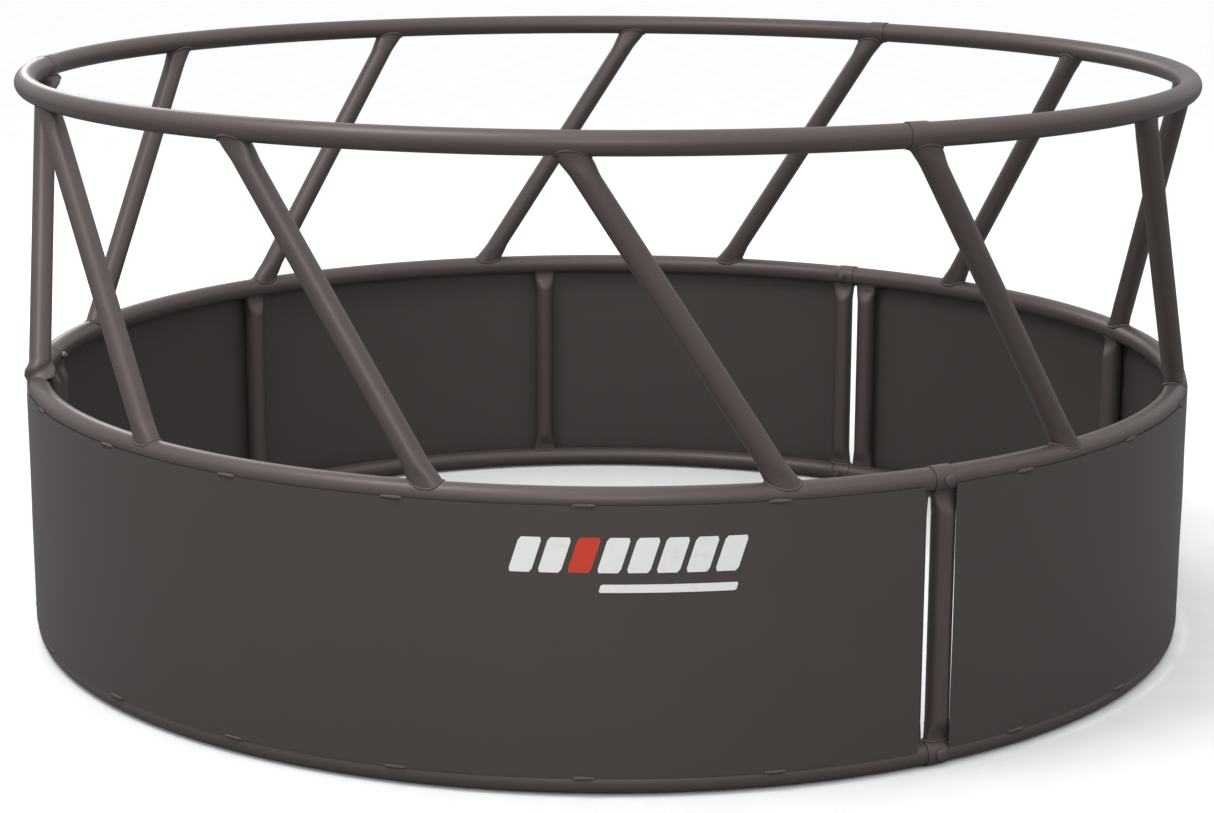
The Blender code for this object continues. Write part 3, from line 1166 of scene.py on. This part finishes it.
def stripe(shape, left, right, low, high, slant, finish):
    """Adds one flat slanted stripe in arc length and height, with a rounded-off outline."""
    columns = 6
    rows = 10
    round_off = 0.0035
    grid = []
    for row in range(rows + 1):
        up = row / rows
        height = low + (high - low) * up
        near_edge = min(height - low, high - height)
        pulled = round_off - math.sqrt(max(0.0, round_off**2 - max(0.0, round_off - near_edge) ** 2))
        lean = slant * (up - 0.5)
        first = left + pulled + lean
        last = right - pulled + lean
        points = [(first + (last - first) * column / columns, height) for column in range(columns + 1)]
        grid.append([shape.verts.new((x, 0, z)) for x, z in points])
    for below, above in zip(grid, grid[1:]):
        for column in range(columns):
            corners = (below[column], below[column + 1], above[column + 1], above[column])
            shape.faces.new(corners).material_index = finish
    return shape


class FEEDER_OT_decal(bpy.types.Operator):
    """Lay the striped vinyl decal on the front of the skirt"""

    bl_idname = "feeder.decal"
    bl_label = "Decal"

    def execute(self, context):
        node = "skirt_decal"
        low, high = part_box(node)
        start, end = span_of(node)
        outer = outer_radius_of(node)
        length = (end - start) * outer
        height = high.z - low.z
        stripes = 8
        gap = 0.011
        slant = 0.020
        accent_stripe = 2
        band_low = height * 0.36
        pitch = (length - slant + gap) / stripes
        shape = bmesh.new()
        for number in range(stripes):
            left = slant / 2 + pitch * number
            finish = 1 if number == accent_stripe else 0
            stripe(shape, left, left + pitch - gap, band_low, height, slant, finish)
        stripe(shape, length * 0.38, length - slant, 0.0, height * 0.15, slant * 0.2, 0)
        for vertex in shape.verts:
            angle = start + vertex.co.x / outer
            vertex.co = polar(angle, outer, low.z + vertex.co.z)
        bmesh.ops.recalc_face_normals(shape, faces=shape.faces)
        middle = shape.faces[:][0]
        if middle.normal.dot(middle.calc_center_median()) < 0:
            bmesh.ops.reverse_faces(shape, faces=shape.faces)
        mesh = bpy.data.meshes.new(node)
        shape.to_mesh(mesh)
        shape.free()
        mesh.materials.append(paint("decal_white"))
        mesh.materials.append(paint("decal_accent"))
        thicken(mesh, VINYL_THICKNESS)
        keep_piece(f"{node}_stripes", mesh, "decal_vinyl", node)
        return {"FINISHED"}


def thicken(mesh, thickness):
    """Gives an open mesh a thickness on its inner side, so that it becomes closed."""
    source = bpy.data.objects.new("to_thicken", mesh)
    bpy.context.scene.collection.objects.link(source)
    modifier = source.modifiers.new("thickness", "SOLIDIFY")
    modifier.thickness = thickness
    modifier.offset = -1
    graph = bpy.context.evaluated_depsgraph_get()
    solid = bmesh.new()
    solid.from_object(source, graph)
    bpy.data.objects.remove(source, do_unlink=True)
    solid.to_mesh(mesh)
    solid.free()
    mesh.shade_smooth()
    mesh.set_sharp_from_angle(angle=math.radians(35))


# Bolts and nuts


def turned(name, outline, sides):
    """The mesh of an outline of (x, radius) turned about +X, closed where it meets the axis."""
    shape = bmesh.new()
    loops = []
    for x, radius in outline:
        if radius == 0:
            loops.append([shape.verts.new((x, 0, 0))])
            continue
        ring = []
        for side in range(sides):
            turn = math.tau * side / sides
            ring.append(shape.verts.new((x, radius * math.cos(turn), radius * math.sin(turn))))
        loops.append(ring)
    for first, second in zip(loops, loops[1:]):
        for side in range(sides):
            after = (side + 1) % sides
            corners = [first[side % len(first)], first[after % len(first)]]
            corners += [second[after % len(second)], second[side % len(second)]]
            unique = list(dict.fromkeys(corners))
            shape.faces.new(unique)
    bmesh.ops.recalc_face_normals(shape, faces=shape.faces)
    mesh = bpy.data.meshes.new(name)
    shape.to_mesh(mesh)
    shape.free()
    mesh.shade_smooth()
    mesh.set_sharp_from_angle(angle=math.radians(32))
    return mesh


def bolt_outline(seat, head_radius, head_height, shank_radius, tip):
    """From the crown of the domed head to the threaded tip, in half thread turns."""
    dome_steps = 9
    lip = 0.0009
    outline = []
    for step in range(dome_steps + 1):
        rise = math.pi / 2 * (1 - step / dome_steps)
        x = seat + lip + (head_height - lip) * math.sin(rise)
        outline.append((x, head_radius * math.cos(rise) if step else 0))
    outline.append((seat, head_radius * 0.985))
    outline.append((seat, shank_radius))
    pitch = 0.0016
    depth = 0.0007
    threaded = tip + 0.020
    outline.append((threaded, shank_radius))
    turns = int((threaded - tip - 0.001) / pitch)
    for turn in range(turns):
        x = threaded - pitch * (turn + 0.5)
        outline.append((x, shank_radius - depth))
        outline.append((x - pitch / 2, shank_radius))
    outline.append((tip, shank_radius - depth * 1.4))
    outline.append((tip, 0))
    return outline


def nut_mesh(name, face, height, across_flats, bore_radius):
    """A hexagon nut with both faces chamfered, made by turning a cone down to the hexagon."""
    sides = 48
    corner = across_flats / math.sqrt(3)
    chamfer = 0.0016
    shape = bmesh.new()
    rows = (
        (face, across_flats / 2 * 0.96),
        (face - chamfer, corner),
        (face - height + chamfer, corner),
        (face - height, across_flats / 2 * 0.96),
    )
    loops = []
    for x, reach in rows:
        ring = []
        for side in range(sides):
            turn = math.tau * side / sides
            wedge = (turn + math.pi / 6) % (math.pi / 3) - math.pi / 6
            flat = across_flats / 2 / math.cos(wedge)
            radius = min(flat, reach)
            ring.append(shape.verts.new((x, radius * math.cos(turn), radius * math.sin(turn))))
        loops.append(ring)
    for x in (face - height, face):
        ring = []
        for side in range(sides):
            turn = math.tau * side / sides
            ring.append(shape.verts.new((x, bore_radius * math.cos(turn), bore_radius * math.sin(turn))))
        loops.append(ring)
    loops.append(loops[0])
    for first, second in zip(loops, loops[1:]):
        for side in range(sides):
            after = (side + 1) % sides
            shape.faces.new((first[side], first[after], second[after], second[side]))
    bmesh.ops.recalc_face_normals(shape, faces=shape.faces)
    mesh = bpy.data.meshes.new(name)
    shape.to_mesh(mesh)
    shape.free()
    mesh.shade_smooth()
    mesh.set_sharp_from_angle(angle=math.radians(20))
    return mesh


def joint_tree():
    """Sets a copy of one fastener on every given point, turned to face out of the ring."""
    tree, nodes, given = geometry_tree(
        "Fasteners at joints",
        (("Fastener", "Object"), ("Twist", "Float"), ("Seed", "Int"), ("Material", "Material")),
    )
    place = nodes.add("GeometryNodeInputPosition").outputs[0]
    split = nodes.add("ShaderNodeSeparateXYZ", {"Vector": place})
    outwards = nodes.math("ARCTAN2", split.outputs["Y"], split.outputs["X"])
    roll = nodes.add("FunctionNodeRandomValue", {"Seed": given["Seed"]}, data_type="FLOAT")
    twist = nodes.math("MULTIPLY", roll.outputs[1], given["Twist"])
    facing = nodes.add("ShaderNodeCombineXYZ", {"X": twist, "Z": outwards})
    info = nodes.add("GeometryNodeObjectInfo", {"Object": given["Fastener"]})
    copies = nodes.add(
        "GeometryNodeInstanceOnPoints",
        {"Points": given["Geometry"], "Instance": info.outputs["Geometry"], "Rotation": facing.outputs[0]},
    )
    real = nodes.add("GeometryNodeRealizeInstances", {"Geometry": copies.outputs[0]})
    painted = nodes.add(
        "GeometryNodeSetMaterial",
        {"Geometry": real.outputs[0], "Material": given["Material"]},
    )
    nodes.add("NodeGroupOutput", {"Geometry": painted.outputs[0]})
    return tree


class FEEDER_OT_fasteners(bpy.types.Operator):
    """Bolt the sections together at the middle and the bottom rail"""

    bl_idname = "feeder.fasteners"
    bl_label = "Joint Bolts and Nuts"

    def execute(self, context):
        levels = ("mid", "bottom")
        nuts = [f"{level}_joint_nut_{n}" for level in levels for n in range(1, SECTIONS + 1)]
        bolts = [f"{level}_joint_bolt_{n}" for level in levels for n in range(1, SECTIONS + 1)]
        points = []
        for nut in nuts:
            middle = middle_of(nut)
            points.append(polar(angle_of(middle), ring_radius(), middle.z))
        nut_turn = angle_of(middle_of(nuts[0]))
        outwards = polar(nut_turn, 1)
        reach = [point.dot(outwards) - ring_radius() for point in node_points(nuts[0])]
        bolt_reach = [point.dot(outwards) - ring_radius() for point in node_points(bolts[0])]
        low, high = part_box(nuts[0])
        seat = -max(reach)
        tip = min(bolt_reach)
        head_height = max(bolt_reach) - seat
        bolt_low, bolt_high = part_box(bolts[0])
        head_radius = (bolt_high.z - bolt_low.z) / 2
        outline = bolt_outline(seat, head_radius, head_height, SHANK_RADIUS, tip)
        nut_height = max(reach) - min(reach)
        shapes = {
            "joint_bolts": turned("bolt", outline, BOLT_SIDES),
            "joint_nuts": nut_mesh("nut", -seat, nut_height, high.z - low.z, NUT_BORE_RADIUS),
        }
        tree = joint_tree()
        for name, replaced, twist in (("joint_bolts", bolts, 0.0), ("joint_nuts", nuts, 1.0)):
            fastener = bpy.data.objects.new(name + "_pattern", shapes[name])
            bpy.context.scene.collection.objects.link(fastener)
            values = {"Fastener": fastener, "Twist": twist, "Seed": 5, "Material": paint("bolt_paint")}
            mesh = run_tree(name, line_mesh(name, [points]), tree, values)
            bpy.data.objects.remove(fastener, do_unlink=True)
            keep_piece(name, mesh, "bolt_paint", *replaced)
        return {"FINISHED"}


# Stage


def add_area_light(name, place, target, width, height, power):
    """An upright oblong light that faces the target and can't be seen itself."""
    light = bpy.data.lights.new(name, "AREA")
    light.shape = "RECTANGLE"
    light.size = width
    light.size_y = height
    light.energy = power
    item = bpy.data.objects.new(name, light)
    item.visible_camera = False
    item.location = place
    item.rotation_euler = (Vector(target) - Vector(place)).to_track_quat("-Z", "Y").to_euler()
    bpy.context.scene.collection.objects.link(item)
    return item


def studio_world(horizon, zenith):
    """Even light that grows from the horizon to the zenith, in front of a plain white wall."""
    world = bpy.data.worlds.new("studio")
    world.use_nodes = True
    nodes = Nodes(world.node_tree)
    background = world.node_tree.nodes["Background"]
    direction = nodes.add("ShaderNodeTexCoord").outputs["Generated"]
    rise = nodes.add("ShaderNodeSeparateXYZ", {"Vector": direction}).outputs["Z"]
    glow = nodes.add("ShaderNodeMapRange", {"Value": rise, "To Min": horizon, "To Max": zenith})
    in_view = nodes.add("ShaderNodeLightPath").outputs["Is Camera Ray"]
    nodes.feed(background.inputs["Strength"], nodes.math("MAXIMUM", glow.outputs[0], in_view))
    background.inputs["Color"].default_value = (1.0, 1.0, 1.0, 1.0)
    return world


class FEEDER_OT_stage(bpy.types.Operator):
    """Set up the pale floor, the soft light and the camera"""

    bl_idname = "feeder.stage"
    bl_label = "Stage"

    def execute(self, context):
        stage = context.scene.feeder_stage
        shape = bmesh.new()
        bmesh.ops.create_circle(shape, cap_ends=True, segments=96, radius=120.0)
        mesh = bpy.data.meshes.new("floor")
        shape.to_mesh(mesh)
        shape.free()
        mesh.materials.append(paint("floor_pale"))
        floor = bpy.data.objects.new("floor", mesh)
        context.scene.collection.objects.link(floor)

        context.scene.world = studio_world(stage.horizon, stage.zenith)
        context.scene.view_settings.view_transform = "Standard"

        camera_place = (0.0, -stage.camera_distance, stage.camera_height)
        middle = (0.0, 0.0, LIT_HEIGHT)
        add_area_light("key", KEY_PLACE, middle, 1.5, 1.5, stage.key_power)
        strip_place = (-0.04, -stage.camera_distance, stage.camera_height + STRIP_ABOVE_CAMERA)
        add_area_light("strip", strip_place, middle, 0.24, 2.0, stage.strip_power)
        add_area_light("rim", RIM_PLACE, middle, 1.2, 1.2, stage.rim_power)

        camera = bpy.data.cameras.new("camera")
        camera.lens = stage.lens
        camera.sensor_width = 36.0
        camera.clip_end = 500.0
        item = bpy.data.objects.new("camera", camera)
        item.matrix_world = (
            Matrix.Translation(camera_place)
            @ Matrix.Rotation(stage.camera_turn, 4, "Z")
            @ Matrix.Rotation(math.pi / 2 - stage.camera_pitch, 4, "X")
            @ Matrix.Rotation(stage.camera_roll, 4, "Z")
        )
        context.scene.collection.objects.link(item)
        context.scene.camera = item
        return {"FINISHED"}


OPERATORS = (
    FEEDER_OT_rails,
    FEEDER_OT_bars,
    FEEDER_OT_uprights,
    FEEDER_OT_sheets,
    FEEDER_OT_stitches,
    FEEDER_OT_fasteners,
    FEEDER_OT_decal,
    FEEDER_OT_stage,
)


class FEEDER_PT_panel(bpy.types.Panel):
    """The feeder's settings and a button for each group of pieces"""

    bl_label = "Round Bale Feeder"
    bl_idname = "FEEDER_PT_panel"
    bl_space_type = "VIEW_3D"
    bl_region_type = "UI"
    bl_category = "Feeder"

    def draw(self, context):
        for label, group in SETTINGS:
            box = self.layout.box()
            settings = getattr(context.scene, label)
            for name in group.__annotations__:
                box.prop(settings, name)
        for operator in OPERATORS:
            self.layout.operator(operator.bl_idname)


SETTINGS = (
    ("feeder_tubes", FeederTubes),
    ("feeder_sheet", FeederSheet),
    ("feeder_welds", FeederWelds),
    ("feeder_paint", FeederPaint),
    ("feeder_stage", FeederStage),
)


def register():
    for label, group in SETTINGS:
        bpy.utils.register_class(group)
        setattr(bpy.types.Scene, label, PointerProperty(type=group))
    for item in (*OPERATORS, FEEDER_PT_panel):
        bpy.utils.register_class(item)


def unregister():
    for item in (FEEDER_PT_panel, *reversed(OPERATORS)):
        bpy.utils.unregister_class(item)
    for label, group in reversed(SETTINGS):
        delattr(bpy.types.Scene, label)
        bpy.utils.unregister_class(group)


def main():
    register()
    bpy.ops.feeder.stage()
    bpy.ops.feeder.rails()
    bpy.ops.feeder.bars()
    bpy.ops.feeder.uprights()
    bpy.ops.feeder.sheets()
    bpy.ops.feeder.stitches()
    bpy.ops.feeder.fasteners()
    bpy.ops.feeder.decal()


if __name__ == "__main__":
    main()
